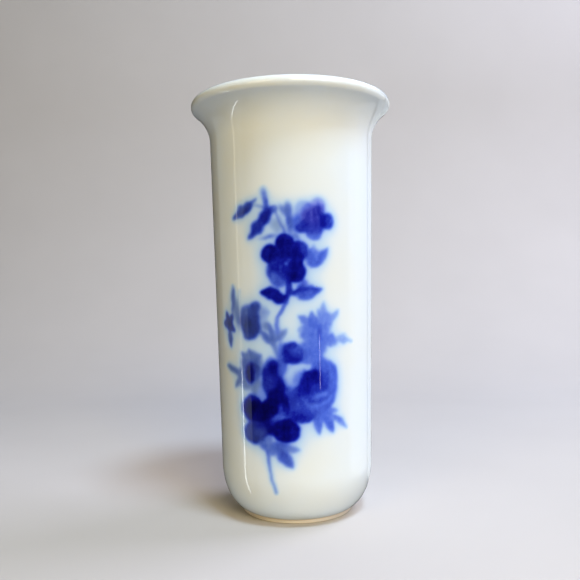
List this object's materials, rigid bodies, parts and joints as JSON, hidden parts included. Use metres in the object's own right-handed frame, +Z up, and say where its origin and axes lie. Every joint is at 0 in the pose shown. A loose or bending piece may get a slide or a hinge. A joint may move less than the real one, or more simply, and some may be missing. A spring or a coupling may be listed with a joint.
{
  "type": "bud vase",
  "caption": "Small porcelain bud vase: straight slightly widening cylinder, rounded heel on a bare foot ring, short trumpet flare with a rolled lip, glazed inside and out.",
  "frame": {"origin": "centre of the foot ring on the table, at the bottom of the vase", "axes": "+Z up along the vase's axis, -Y towards the printed front, +X to the right seen from the front"},
  "size_m": [0.062, 0.062, 0.127],
  "materials": {
    "bare_porcelain": "unglazed fired porcelain, fine matte grain, slightly warm",
    "printed_glaze": "clear bright white gloss glaze over an underglaze cobalt blue flower spray on the front",
    "base_glaze": "clear white gloss glaze, a little thicker and cooler where it pools"
  },
  "bodies": {
    "root": {"porcelain_body": "bare_porcelain", "glaze_coat": "printed_glaze", "base_glaze": "base_glaze"}
  },
  "joints": []
}
